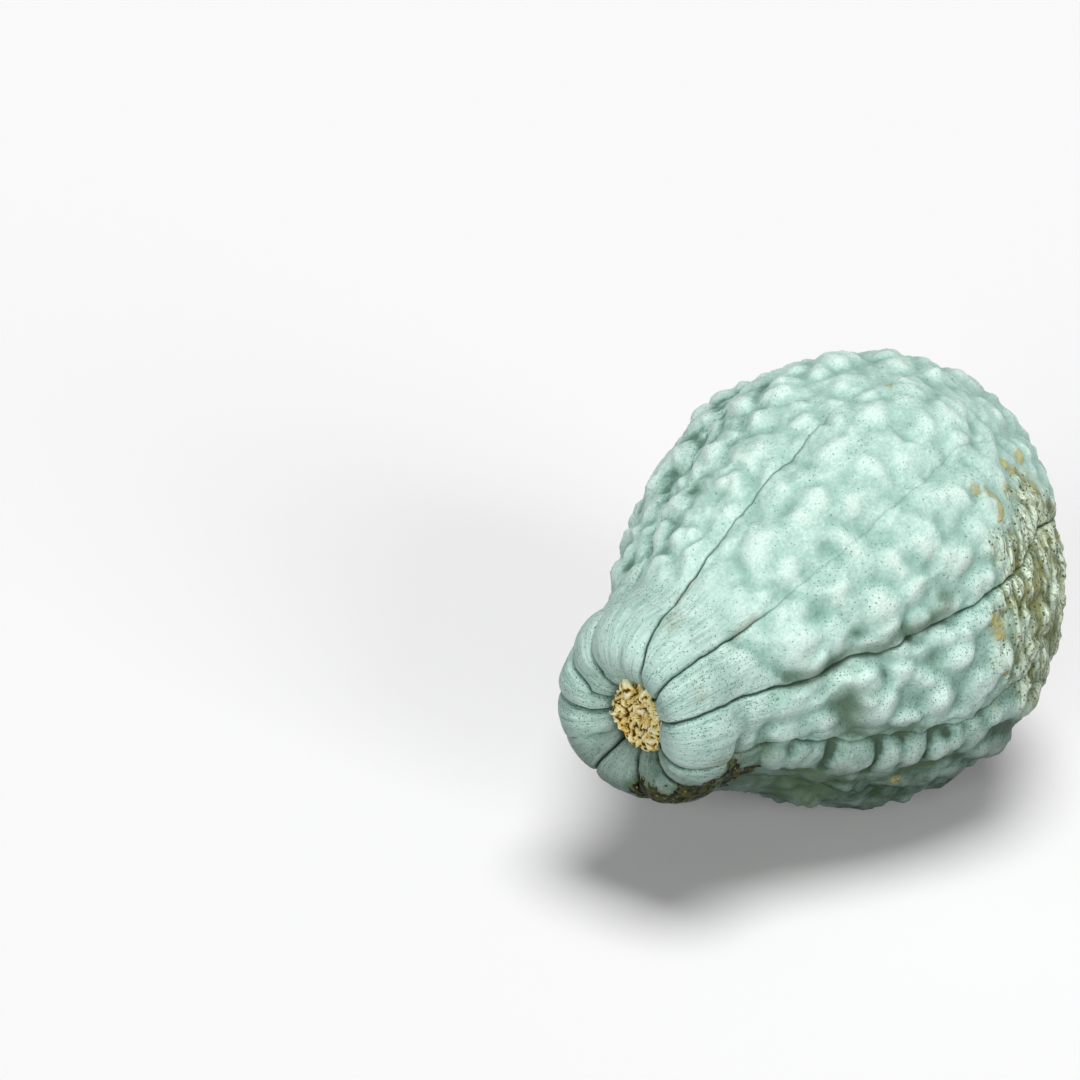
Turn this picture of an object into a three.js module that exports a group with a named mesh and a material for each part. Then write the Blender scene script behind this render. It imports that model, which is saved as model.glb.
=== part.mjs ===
// A blue hubbard squash lying on its side: one ribbed, warty fruit and the corky scar of its stem.
//
// Frame: +Z up, the ground at Z = 0, the neck and stem towards -X and the blossom end towards +X.
// The fruit is laid out along its own axis first. A station is a distance along that axis from the
// belly's widest ring, positive towards the stem. An angle goes round the axis, in degrees, from
// the top of the fruit towards -Y, the near side.

import * as THREE from 'three';

// ---- driving dimensions, in mm and degrees ----

const BELLY_RADIUS = 141;
const SECTION = { width: 0.98, height: 1.02 }; // the belly is a little taller than it is wide
const NECK_DROOP = 7; // how far the stem end points below level
const GROUND_SPOT_DEPTH = 7; // how deep the ground has flattened the underside

const COLUMNS_PER_LOBE = 8;
const BODY_ROWS = 48;

// The centreline leaves the straight axis by these amounts, growing with the square of the station.
const BLOSSOM_END_BEND = { at: -150, up: 12, away: 23 };
const NECK_BEND = { at: 200, up: 11.5, away: -10.5 };

// The body's half outline: [station, radius] from the blossom end's nub and round the neck's blunt
// end, and then down into the pit that holds the stem.
const BODY_OUTLINE = [
  [-176, 0],
  [-174, 10],
  [-166, 34],
  [-150, 65],
  [-128, 90],
  [-96, 112],
  [-55, 130],
  [0, BELLY_RADIUS],
  [50, 131.5],
  [100, 109],
  [140, 86],
  [168, 71],
  [190, 62],
  [210, 60],
  [225, 54],
  [232.5, 47],
  [235, 39],
  [232, 30],
];
const PIT_FLOOR_STATION = 214;
const PIT_RADIUS = 17;
const PIT_OUTLINE = [
  [225, PIT_RADIUS + 6],
  [PIT_FLOOR_STATION + 6, PIT_RADIUS + 4],
  [PIT_FLOOR_STATION + 1.5, PIT_RADIUS + 2],
  [PIT_FLOOR_STATION, PIT_RADIUS],
  [PIT_FLOOR_STATION, 0],
];

// The pit sits off the neck's centre, so the lobes draw in towards it from all sides.
const PIT_OFFSET = { up: -2.5, away: -1 };
const PIT_OFFSET_RADII = { all: 26, none: 60 };

// The sutures between the lobes: [station, angle] along each, how deep it is on the belly, and
// how deep on the neck. The last one dies out before it reaches the belly.
const SUTURES = [
  { path: [[20, 9], [90, 9], [145, 6], [200, 10], [232, 16]], belly: 7, neck: 9 },
  { path: [[-60, 44], [-10, 38], [50, 40], [180, 41], [232, 47]], belly: 4, neck: 8 },
  {
    path: [[-100, 76], [-40, 67], [10, 72], [100, 76.5], [120, 74.5], [150, 78], [180, 74]],
    belly: 9,
    neck: 9,
  },
  { path: [[-60, 92], [20, 104], [50, 108], [140, 109], [170, 106], [232, 112]], belly: 7, neck: 9 },
  { path: [[100, 138], [225, 132]], belly: 7, neck: 8 },
  { path: [[110, 168], [225, 172]], belly: 7, neck: 8 },
  { path: [[110, 198], [225, 213]], belly: 6, neck: 8 },
  { path: [[110, 226], [225, 242]], belly: 7, neck: 6 },
  { path: [[110, 256], [225, 267]], belly: 7, neck: 10 },
  { path: [[110, 290], [225, 297]], belly: 7, neck: 8 },
  { path: [[110, 329], [225, 324]], belly: 9, neck: 9 },
  { path: [[110, 350], [225, 355]], belly: 0, neck: 6 },
];
const NECK_START = 130; // where the sutures begin to deepen towards the neck
const NECK_END = 200;
const LOBE_HEIGHT = 3; // how far the lobes stand out between their sutures
const SUTURE_SPREAD = 0.14; // the sutures' rounded shoulders, in radians
const SUTURE_HALF_WIDTH = 6;

// The largest warts and swellings: [station, angle, half length along, half width around, height].
const WARTS = [
  [150, 66, 14, 13, 5],
  [133, 65, 11, 12, 5],
  [103, 65, 16, 13, 5.5],
  [106, 48, 12, 18, 3.5],
  [84, 73, 10, 9, 5],
  [70, 50, 9, 15, 3.5],
  [124, 52, 14, 13, 3],
  [40, 66, 13, 12, 3],
  [22, 44, 16, 11, 3],
  [118, 93, 12, 14, 6],
  [124, 85, 10, 9, 4],
  [103, 83, 11, 9, 4.5],
  [150, 88, 10, 10, 3],
  [75, 96, 13, 9, 4.5],
  [46, 94, 11, 10, 4],
  [121, 116, 14, 13, 6],
  [99, 115, 9, 11, 5],
  [80, 114, 11, 11, 5],
  [64, 113, 8, 10, 4.5],
  [148, 115, 12, 9, 3.5],
  [128, 24, 13, 12, 3],
  [90, 15, 10, 12, 3],
  [68, 16, 13, 12, 3],
  [48, 27, 17, 16, 3],
  [-5, 28, 17, 15, 3],
  [84, 358, 15, 17, 4],
  [80, 341, 11, 11, 4],
  [106, 352, 13, 11, 3],
  [30, 350, 15, 13, 3.5],
  [5, 343, 13, 15, 5],
  [-20, 352, 15, 15, 5],
  [-50, 6, 15, 13, 4],
  [42, 327, 10, 10, 5],
  [88, 318, 10, 9, 4.5],
  [112, 314, 11, 10, 5],
  [138, 318, 11, 11, 4],
  [148, 301, 11, 10, 5],
  [222, 95, 20, 22, 3],
  [228, 243, 18, 34, 6],
];

// On the far side and the underside, rows of warts fill the lobes: two abreast, unevenly set.
const FAR_LOBES = { first: 4, last: 9 };
const FAR_ROWS = { from: -90, to: 140, pitch: 27 };
const FAR_WART = { radius: 11, spread: 4, height: 4 };

const STEM_GAP = 0.4; // clearance between the stem's cork and the pit it sits in
const STEM_COLUMNS = 44;
const STEM_PEAKS = 11; // one corky peak above each lobe
const STEM_PEAK_HEIGHT = 0.06; // as a share of the radius

// ---- small helpers ----

const smoothstep = (low, high, value) => THREE.MathUtils.smoothstep(value, low, high);
const radians = THREE.MathUtils.degToRad;
const euclideanModulo = THREE.MathUtils.euclideanModulo;

function angleBetween(a, b) {
  return euclideanModulo(a - b + 180, 360) - 180;
}

// A fixed, uneven value between -1 and 1 for each whole number.
function uneven(number) {
  return 2 * euclideanModulo(Math.sin(number * 12.9898) * 43758.5453, 1) - 1;
}

function along(path, station) {
  const next = path.findIndex(([at]) => at > station);
  if (next === 0) return path[0][1];
  if (next < 0) return path[path.length - 1][1];
  const [fromStation, fromAngle] = path[next - 1];
  const [toStation, toAngle] = path[next];
  return THREE.MathUtils.lerp(fromAngle, toAngle, smoothstep(fromStation, toStation, station));
}

function sutureAngle(index, station) {
  const angle = along(SUTURES[index % SUTURES.length].path, station);
  return index < SUTURES.length ? angle : angle + 360;
}

// Every lobe gets the same number of mesh columns, so that a column always runs along each suture.
function angleOfTurn(turn, station) {
  const lobe = Math.min(Math.floor(turn * SUTURES.length), SUTURES.length - 1);
  const across = turn * SUTURES.length - lobe;
  return THREE.MathUtils.lerp(sutureAngle(lobe, station), sutureAngle(lobe + 1, station), across);
}

// ---- relief: how far the surface stands out of the plain round outline ----

function lobeRelief(angle, station, radius) {
  const towardsNeck = smoothstep(NECK_START, NECK_END, station);
  let relief = LOBE_HEIGHT;
  SUTURES.forEach((suture, index) => {
    const turn = Math.abs(radians(angleBetween(angle, sutureAngle(index, station))));
    const depth = THREE.MathUtils.lerp(suture.belly, suture.neck, towardsNeck);
    const shoulders = Math.exp(-turn / SUTURE_SPREAD);
    const groove = Math.exp(-(((turn * radius) / SUTURE_HALF_WIDTH) ** 2));
    relief -= depth * (0.55 * shoulders + 0.45 * groove);
  });
  return relief;
}

function farWarts() {
  const warts = [];
  for (let lobe = FAR_LOBES.first; lobe <= FAR_LOBES.last; lobe += 1) {
    for (let station = FAR_ROWS.from; station <= FAR_ROWS.to; station += FAR_ROWS.pitch) {
      for (const share of [0.28, 0.72]) {
        const seed = lobe * 1000 + station + share * 10;
        const left = sutureAngle(lobe, station);
        const right = sutureAngle(lobe + 1, station);
        warts.push([
          station + 9 * uneven(seed + 1) + 26 * (share - 0.28),
          THREE.MathUtils.lerp(left, right, share + 0.06 * uneven(seed + 2)),
          FAR_WART.radius + FAR_WART.spread * uneven(seed + 3),
          FAR_WART.radius + FAR_WART.spread * uneven(seed + 4),
          FAR_WART.height * (1 + 0.35 * uneven(seed + 5)),
        ]);
      }
    }
  }
  return warts;
}

const ALL_WARTS = [...WARTS, ...farWarts()];

function wartRelief(angle, station, radius) {
  let highest = 0;
  for (const [wartStation, wartAngle, halfLength, halfWidth, height] of ALL_WARTS) {
    const lengthways = (station - wartStation) / halfLength;
    const around = (radians(angleBetween(angle, wartAngle)) * radius) / halfWidth;
    const reach = Math.hypot(lengthways, around);
    highest = Math.max(highest, height * (1 - smoothstep(0.3, 1.15, reach)));
  }
  return highest;
}

// Relief dies out on the blossom end's nub and inside the stem pit.
function reliefShare(station, radius) {
  const atBlossomEnd = station < 0 ? smoothstep(10, 100, radius) : 1;
  const atStem = station > NECK_END ? smoothstep(PIT_RADIUS + 6, PIT_RADIUS + 24, radius) : 1;
  return atBlossomEnd * atStem;
}

function centrelineAt(station, radius) {
  const bend = station < 0 ? BLOSSOM_END_BEND : NECK_BEND;
  const share = (station / bend.at) ** 2;
  const { all, none } = PIT_OFFSET_RADII;
  const pitShare = station > NECK_END ? 1 - smoothstep(all, none, radius) : 0;
  return {
    up: bend.up * share + PIT_OFFSET.up * pitShare,
    away: bend.away * share + PIT_OFFSET.away * pitShare,
  };
}

// ---- the two pieces, laid out with the axis along +Y and the top of the fruit towards +Z ----

// A lathe vertex is moved out by the relief and along with the bend of the centreline.
function shapeBody(geometry) {
  const position = geometry.attributes.position;
  const columns = SUTURES.length * COLUMNS_PER_LOBE;
  const rows = position.count / (columns + 1);
  for (let index = 0; index < position.count; index += 1) {
    const station = position.getY(index);
    const radius = Math.hypot(position.getX(index), position.getZ(index));
    const turn = 1 - Math.floor(index / rows) / columns; // the lathe turns the other way
    const angle = angleOfTurn(turn, station);
    const relief = lobeRelief(angle, station, radius) + wartRelief(angle, station, radius);
    const reach = radius + relief * reliefShare(station, radius);
    const centre = centrelineAt(station, radius);
    const side = centre.away - SECTION.width * reach * Math.sin(radians(angle));
    const height = centre.up + SECTION.height * reach * Math.cos(radians(angle));
    position.setXYZ(index, side, station, height);
  }
}

function outlinePoints(outline) {
  return outline.map(([station, radius]) => new THREE.Vector2(radius, station));
}

function bodyGeometry() {
  const outline = new THREE.SplineCurve(outlinePoints(BODY_OUTLINE));
  const points = outline.getSpacedPoints(BODY_ROWS);
  points[0].x = 0;
  points.push(...outlinePoints(PIT_OUTLINE));
  const geometry = new THREE.LatheGeometry(points, SUTURES.length * COLUMNS_PER_LOBE);
  shapeBody(geometry);
  return geometry;
}

function stemGeometry() {
  const floor = PIT_FLOOR_STATION + STEM_GAP;
  const points = outlinePoints([
    [floor, 0],
    [floor, PIT_RADIUS - 1.5],
    [floor + 3, PIT_RADIUS + 1],
    [floor + 6, PIT_RADIUS + 2.5],
    [floor + 8.5, PIT_RADIUS + 3],
    [floor + 9.5, PIT_RADIUS],
    [floor + 7.5, PIT_RADIUS * 0.6],
    [floor + 9, PIT_RADIUS * 0.3],
    [floor + 9, 0],
  ]);
  const geometry = new THREE.LatheGeometry(points, STEM_COLUMNS);
  const position = geometry.attributes.position;
  const centre = centrelineAt(PIT_FLOOR_STATION, PIT_RADIUS);
  for (let index = 0; index < position.count; index += 1) {
    const x = position.getX(index);
    const z = position.getZ(index);
    const valley = (1 - Math.cos(STEM_PEAKS * Math.atan2(x, z))) / 2;
    const scale = 1 - STEM_PEAK_HEIGHT * valley;
    position.setXYZ(index, x * scale + centre.away, position.getY(index), z * scale + centre.up);
  }
  return geometry;
}

// ---- laying the fruit down ----

// Turns the axis from +Y to -X, with the near side towards -Y, and lets the neck droop.
function layDown(geometry) {
  geometry.rotateZ(Math.PI / 2);
  geometry.rotateY(-radians(NECK_DROOP));
}

function flattenGroundSpot(geometry) {
  geometry.computeBoundingBox();
  const ground = geometry.boundingBox.min.z + GROUND_SPOT_DEPTH;
  const position = geometry.attributes.position;
  for (let index = 0; index < position.count; index += 1) {
    position.setZ(index, Math.max(position.getZ(index), ground));
  }
  geometry.computeBoundingBox();
}

const body = new THREE.Mesh(
  bodyGeometry(),
  new THREE.MeshStandardMaterial({ color: 0x9dbbb1, roughness: 0.6, metalness: 0 }),
);
body.name = 'squash_body';

const stem = new THREE.Mesh(
  stemGeometry(),
  new THREE.MeshStandardMaterial({ color: 0xc9a763, roughness: 0.9, metalness: 0 }),
);
stem.name = 'stem_scar';

layDown(body.geometry);
layDown(stem.geometry);
flattenGroundSpot(body.geometry);

// The origin goes on the ground, under the middle of the fruit.
const squash = new THREE.Group();
squash.name = 'blue_hubbard_squash';
squash.add(body, stem);
const box = new THREE.Box3().setFromObject(squash);
squash.position.set(-(box.min.x + box.max.x) / 2, -(box.min.y + box.max.y) / 2, -box.min.z);

export default squash;
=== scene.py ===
"""A blue hubbard squash lying on its side, dressed over its solids.

Shapes are laid out in millimetres along the fruit's own axis. A station is a distance along that
axis from the belly's widest ring, positive towards the stem. An angle goes round the axis, in
degrees, from the top of the fruit towards -Y. The finished pieces are in metres, in the part's frame.
"""

import math

import bmesh
import bpy
import numpy as np
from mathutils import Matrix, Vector, noise


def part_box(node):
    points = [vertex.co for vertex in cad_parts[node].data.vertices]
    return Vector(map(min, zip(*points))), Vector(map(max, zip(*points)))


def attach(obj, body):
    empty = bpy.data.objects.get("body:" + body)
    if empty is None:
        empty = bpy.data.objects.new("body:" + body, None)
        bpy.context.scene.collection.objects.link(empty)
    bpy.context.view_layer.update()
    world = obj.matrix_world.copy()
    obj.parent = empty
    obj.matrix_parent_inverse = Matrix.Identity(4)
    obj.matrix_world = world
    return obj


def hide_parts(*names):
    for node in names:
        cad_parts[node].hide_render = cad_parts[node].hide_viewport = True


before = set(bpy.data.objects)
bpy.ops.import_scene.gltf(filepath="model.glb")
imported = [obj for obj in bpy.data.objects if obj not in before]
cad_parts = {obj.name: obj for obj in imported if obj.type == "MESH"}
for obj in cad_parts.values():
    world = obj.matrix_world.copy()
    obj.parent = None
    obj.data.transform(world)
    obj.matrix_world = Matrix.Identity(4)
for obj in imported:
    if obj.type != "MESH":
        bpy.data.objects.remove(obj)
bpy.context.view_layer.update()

MM = 0.001

# ---- the fruit's form ----

BELLY_RADIUS = 141
SECTION_WIDTH = 0.98
SECTION_HEIGHT = 1.02
NECK_DROOP = 7  # how many degrees the stem end points below level
# How far the centreline is off the straight axis at a station. It bends with the station's square.
BLOSSOM_BEND = {"at": -150, "up": 12, "away": 23}
NECK_BEND = {"at": 200, "up": 11.5, "away": -10.5}
BELLY_CENTRE = Vector((33.6, -1.6, 140.2))  # from the middle of the body's box, and from the ground

# The outlines are (station, radius) points.
BODY_OUTLINE = [
    (-176, 0), (-174, 10), (-166, 34), (-150, 65), (-128, 90), (-96, 112), (-55, 130),
    (0, BELLY_RADIUS), (50, 131.5), (100, 109), (140, 86), (168, 71), (190, 62), (210, 60),
    (225, 54), (232.5, 47), (235, 39), (232, 30),
]
PIT_FLOOR = 214
PIT_RADIUS = 17
PIT_OUTLINE = [
    (225, PIT_RADIUS + 6), (PIT_FLOOR + 6, PIT_RADIUS + 4), (PIT_FLOOR + 1.5, PIT_RADIUS + 2),
    (PIT_FLOOR, PIT_RADIUS), (PIT_FLOOR, 0),
]
PIT_OFFSET = {"up": -2.5, "away": -1}
PIT_OFFSET_RADII = {"all": 26, "none": 60}  # where the nose follows the pit, and where it doesn't

# A run is a station that is counted on past the nose's crest, in towards the pit.
NOSE_CREST = {"station": 235, "radius": 39}

# Each suture: its path as (station, angle) pairs, the depth of its soft valley and of its narrow
# cleft, each first on the belly and then on the neck, and how many mesh columns fill the lobe that
# follows it. The cleft fades in where the path starts.
SUTURES = [
    ([(20, 9), (60, 9), (120, 7), (145, 6), (180, 7.5), (205, 11), (225, 17), (236, 22), (250, 26)],
     (2, 3.4), (1.1, 2.4), 36),
    ([(-60, 44), (-10, 38), (50, 40), (150, 43.5), (180, 44), (226, 44), (250, 46)],
     (3.4, 3), (0.3, 2.4), 40),
    ([(-100, 76), (-40, 67), (10, 72), (60, 74), (90, 75.5), (106, 76.5), (121, 74.5), (150, 78),
      (180, 75), (235, 72)], (4.5, 3.4), (3.4, 2.8), 42),
    ([(-60, 92), (20, 104), (50, 108), (140, 109), (170, 106), (232, 111), (248, 118)],
     (6, 5), (0.8, 3), 38),
    ([(-90, 138), (100, 138), (225, 131), (250, 138)], (4, 4), (1.5, 3), 30),
    ([(-90, 168), (110, 168), (225, 169), (250, 176)], (4, 4), (2, 3), 28),
    ([(-90, 198), (110, 198), (225, 213)], (4, 4), (2, 3), 26),
    ([(-90, 226), (110, 226), (225, 242), (250, 234)], (4, 1.2), (2, 0.2), 28),
    ([(-90, 256), (110, 256), (225, 269), (245, 267)], (4, 5), (3, 4), 32),
    ([(-90, 290), (110, 290), (225, 300), (245, 291)], (4, 4.5), (3, 4), 40),
    ([(-90, 329), (110, 329), (225, 327), (245, 322)], (5, 5), (3, 4), 26),
    ([(110, 350), (225, 359), (240, 363)], (0, 1.6), (0, 0), 24),
]
SUTURE_FADE = 60  # how far it takes a cleft to reach its depth
# How a suture wanders from its path: (degrees, millimetres along for each wave).
SUTURE_WAVES = [(0.3, 61), (0.22, 23), (0.12, 11)]
NECK_START = 130
NECK_END = 200
LOBE_HEIGHT = 3
SUTURE_SPREAD = 0.13  # the rounded shoulders, in radians
CLEFT_HALF_WIDTH = 0.9

# Warts: (station, angle, half length along, half width around, height).
WARTS = [
    # the lobe on top
    (138, 11, 10, 4, 1.5), (130, 24, 14, 13, 4), (131, 34, 10, 9, 3), (110, 28, 13, 12, 3.5),
    (94, 25, 9, 9, 3), (85, 32, 7, 8, 3), (95, 16, 8, 8, 2.5), (66, 19, 12, 13, 4),
    (48, 26, 16, 16, 3), (70, 31, 11, 9, 2.5), (24, 34, 12, 10, 3), (-5, 28, 16, 14, 3.5),
    (10, 12, 10, 5, 2), (-12, 33, 12, 12, 2.5), (-20, 17, 12, 12, 2.5), (160, 36, 13, 9, 3),
    (144, 30, 8, 8, 2.5), (28, 17, 13, 11, 3), (47, 14, 9, 8, 2.5), (5, 22, 11, 10, 2.5),
    (-38, 28, 14, 13, 3),
    # the near shoulder
    (147, 64, 14, 15, 6.5), (129, 65.5, 9, 10, 5.5), (100, 63, 12, 14, 6), (114, 60, 6, 10, 3.5),
    (145, 50, 12, 10, 3.5), (114, 49, 10, 10, 3.5), (96, 46, 8, 13, 4), (86, 53, 8, 9, 3),
    (80, 60, 10, 10, 3.5), (81.5, 71.5, 7, 7, 6), (61, 50, 11, 13, 4.5), (40, 44, 11, 10, 4),
    (49, 60, 12, 9, 4), (34, 69, 8, 8, 3.5), (20, 60, 8, 9, 3.5), (-15, 45, 14, 12, 3),
    (128, 46, 8, 8, 2.5), (70, 41, 10, 7, 2.5), (22, 45, 12, 10, 3), (10, 55, 10, 8, 2.5),
    (112, 72, 13, 4, 2), (60, 71, 8, 5, 2.5),
    # the near side
    (113, 95, 11, 13, 6.5), (118, 84.5, 9, 9, 5), (133, 83, 8, 9, 4.5), (98, 84.5, 7, 8, 4),
    (158, 85, 16, 9, 4.5), (145, 96.5, 8, 7, 3.5), (164, 100.5, 10, 8, 4), (180, 84, 10, 9, 3),
    (73.5, 97.5, 9, 10, 5.5), (46, 97, 11, 12, 5.5), (93.5, 101, 8, 6, 3.5), (84, 88, 7, 6, 3.5),
    (68, 78, 8, 6, 3.5), (48, 78, 10, 6, 3.5), (92, 78, 8, 5, 3), (60, 85, 8, 6, 3.5),
    (55, 103, 8, 5, 3.5), (30, 90, 9, 9, 3.5), (136, 104, 9, 5, 3), (115, 105, 9, 4, 2.5),
    (222, 95, 20, 20, 4), (190, 105, 9, 8, 3),
    # the near side's lower row
    (120, 116.5, 13, 13, 7.5), (97.5, 116.5, 8, 12, 7), (82, 115, 9, 11, 7),
    (65, 114.5, 8, 9, 6), (54, 112.5, 6, 8, 5), (39.5, 112, 9, 9, 4.5), (27, 109.5, 7, 8, 4),
    (7, 109, 12, 9, 4), (18, 122, 12, 8, 4.5), (151, 115.5, 12, 10, 5.5), (168, 115, 8, 8, 4.5),
    (108, 139, 13, 9, 5), (69, 148, 10, 9, 5), (46, 139, 9, 8, 5), (37, 129, 11, 7, 4.5),
    (121, 148, 12, 8, 5), (76, 131, 10, 6, 4), (57, 130, 7, 6, 4), (-15, 112, 10, 9, 4),
    (-4, 127, 11, 8, 4.5), (92, 127, 9, 6, 4), (112, 129, 9, 5, 3.5), (132, 128, 9, 6, 3.5),
    # over the top towards the far side
    (84, 357, 14, 16, 3.5), (80, 341, 10, 10, 3), (104, 336, 10, 8, 2.5), (106, 352, 12, 10, 2.5),
    (116, 0, 12, 8, 2), (126, 337, 10, 10, 3), (124, 350, 12, 8, 2.5), (140, 335, 10, 8, 3),
    (146, 352, 12, 10, 2), (30, 350, 14, 12, 3), (38, 337, 10, 10, 3), (42, 327, 8, 8, 4),
    (15, 335, 9, 9, 3), (5, 343, 12, 14, 4), (-20, 351, 14, 14, 4), (-48, 5, 14, 12, 3),
    (-62, 14, 12, 10, 3), (76, 323, 10, 9, 3), (88, 319, 10, 8, 3), (98, 314, 9, 8, 3),
    (112, 314, 10, 9, 3.2), (124, 318, 10, 9, 3), (138, 318, 11, 10, 3), (130, 305, 11, 10, 3.5),
    (148, 300, 11, 10, 3.5),
    # the neck's swollen far lobe
    (228, 243, 18, 34, 6),
]

WART_FOOT = 1.42  # where a wart ends, in half widths
WART_FLATNESS = 2.5  # a higher number gives a flatter top
WART_SOFTNESS = 1.3  # a higher number gives a softer foot
WART_HEIGHTS = 0.96  # times the heights listed

# On the far side and the underside, rows of warts fill the lobes: two abreast, unevenly set.
FAR_LOBES = {4: 3, 5: 3, 6: 4, 7: 4.8, 8: 5, 9: 5}  # each lobe's number and its warts' height
FAR_PITCH = 26
FAR_STATIONS = range(-66, 110, FAR_PITCH)
FAR_SHARES = (0.28, 0.72)  # how far across the lobe each of the two sits
FAR_WART = {"radius": 11, "spread": 4}
FAR_WANDER = {"along": 9, "around": 0.06, "height": 0.35}

# Creases across the lobes: the (station, angle) points, depth and half width.
CREASES = [
    ([(150, 8), (146, 16), (149, 24), (157, 36)], 1.5, 3),
    ([(180, 45), (173, 54), (170, 64), (163, 70), (156, 75)], 4, 4.5),
    ([(132.5, 53.5)], 1.8, 7),
    ([(132, 74), (122.5, 67), (116, 67)], 2, 3.5),
    ([(91, 71), (88, 76), (82, 77.5)], 2.2, 2.5),
    ([(154, 28), (150, 36)], 1.5, 4),
    ([(110, 38), (104, 40)], 2, 5),
    ([(79, 10), (78, 20)], 2, 3),
    ([(106.5, 84)], 1.8, 4),
    ([(76, 84), (72, 84)], 1.5, 6),
    ([(131, 90), (127, 97)], 1.6, 7),
    ([(99, 97.5)], 1, 5),
    ([(88, 95)], 1, 5),
    ([(63, 65), (58, 68)], 1.8, 6),
    ([(35, 72)], 1.8, 5),
    ([(203, 96), (202, 112)], 4, 4),
    ([(184, 102), (178, 94)], 3, 4),
    ([(80, 346), (68, 353), (62, 360), (64, 364)], 1.5, 3),
    ([(139, 345), (139, 358)], 1.5, 3),
    ([(66, 45), (55, 53)], 1.5, 3),
    ([(70, 66), (66, 66)], 2, 4),
    ([(134, 112), (134, 123)], 2.5, 3),
    ([(105.5, 112), (105, 123)], 3, 2.5),
    ([(73, 111), (72, 119)], 2.5, 2.5),
    ([(158, 125), (135, 127), (112, 130), (84, 126), (62, 122)], 2, 4),
]

# Noise layers, here and below: (height, lump size, where its noise is read).
WART_EDGE = [(0.18, 16, 700), (0.08, 7, 800)]
# Soft unevenness: such a layer, its share high up and low down on the fruit, and on the neck.
SWELLS = [
    ((1.5, 26, 0), (1, 1), 0.3), ((0.9, 9, 500), (0.8, 1.1), 0.25), ((0.5, 5, 600), (1, 1), 0.3),
]
# Pillows between the warts: size, gap between two, where their noise is read, height away from
# the near side and on it, and share above and below.
PILLOWS = [
    (27, 0.55, 0, (3.4, 2.6), (1, 0.55)), (14, 0.7, 300, (1.6, 1), (1, 1)),
    (11, 0.8, 600, (1.3, 1.3), (0, 1)),
]
PILLOW_SWAY = (8, 20, 0)  # the layer that moves them off their places
NEAR_SIDE = {"angle": 68, "half_turn": 55, "fade": 15, "from": -60, "to": 0}
NECK_SKIN = (150, 195)  # the stations between which the pillowed rind turns smooth
# Degrees from the top at which each starts, and at which it is full.
FLANKS = (30, 100)
UNDERSIDE = (96, 140)

# The corky, wrinkled rind round the blossom end's near side.
CORK = {"station": -92, "angle": 84, "half_length": 128, "half_turn": 37}
# Within this radius the patch spans more degrees: at the tip its turn counts for this share.
CORK_WIDENING = {"share": 0.3, "radius": 100}
CORK_EDGE = [(0.16, 22, 0), (0.1, 7, 0)]
CORK_FOLDS = {"apart": 9, "length": 48, "height": 3.2, "sway": (1.1, 26, 0)}
CORK_LUMPS = (1.8, 6, 50)
CORK_SINK = 1.4  # how far the furrows lie below the plain rind
# Past this station, how many degrees further round the cork's middle lies for each millimetre.
CORK_DRIFT = {"from": -45, "turn": 0.45}

# Ochre scars in the rind: the (station, angle) points and the half width.
OCHRE_MARKS = [
    ([(11, 48)], 4.6), ([(4, 50), (0, 52.5), (0.5, 55.5), (7.5, 57.5)], 3.2),
    ([(-15.5, 52)], 4.6), ([(-38.5, 50), (-33, 47)], 4.8), ([(-61, 49)], 6),
    ([(-55.5, 58)], 6), ([(2, 70)], 3.6), ([(31, 79), (30.5, 83)], 5.4),
    ([(26, 95)], 3.6), ([(-4.5, 13.5)], 2.4), ([(80.5, 129.5)], 3.8),
]
# Faint straw-brown stains, and painted olive shade low in the near side's creases.
BROWN_STAINS = [
    ([(219, 102), (214, 106)], 6), ([(197.5, 108.5)], 6), ([(210.5, 20), (200, 17)], 5),
    ([(178, 44), (165, 42)], 3), ([(222, 60)], 5), ([(188, 9), (170, 8)], 2.5),
]
OLIVE_SHADES = [
    ([(160, 75), (146, 75), (121, 72), (106, 74), (88, 73), (62, 71)], 6),
    ([(132, 89), (129, 97), (124, 103)], 11), ([(63, 68), (58, 69)], 5),
    ([(160, 124), (135, 127), (112, 129.5), (82, 125), (58, 121)], 6), ([(150, 140), (125, 143)], 16),
    ([(130, 106), (102, 105), (80, 107)], 6), ([(176, 107), (196, 114), (206, 120)], 7),
]
# Soil dried into the folds under the nose: the middle's (station, angle, radius) points.
EARTH_MARK = [
    (233, 166, 46), (230, 150, 50), (226, 139, 53), (215, 132, 58), (203, 127, 61), (190, 127, 63),
]
EARTH_EDGE = [(6, 9, 0), (3, 4, 0)]
EARTH_REACH = (3, 17)  # how far off the middle it starts to thin, and where it ends
EARTH_CRUMBS = (1.6, 4, 900)
# The small corky button at the blossom end: its radius and height, and the ring sunk round it.
BLOSSOM_BUTTON = {"radius": 6, "height": 1.2, "ring": 1.6, "ring_width": 0.5, "ring_depth": 1.8}

BODY_ROWS = 238  # mesh rows from the blossom end to the nose
PIT_ROWS = 14
COLUMN_CROWDING = 0.45  # how much closer together the mesh columns are at the sutures

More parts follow.
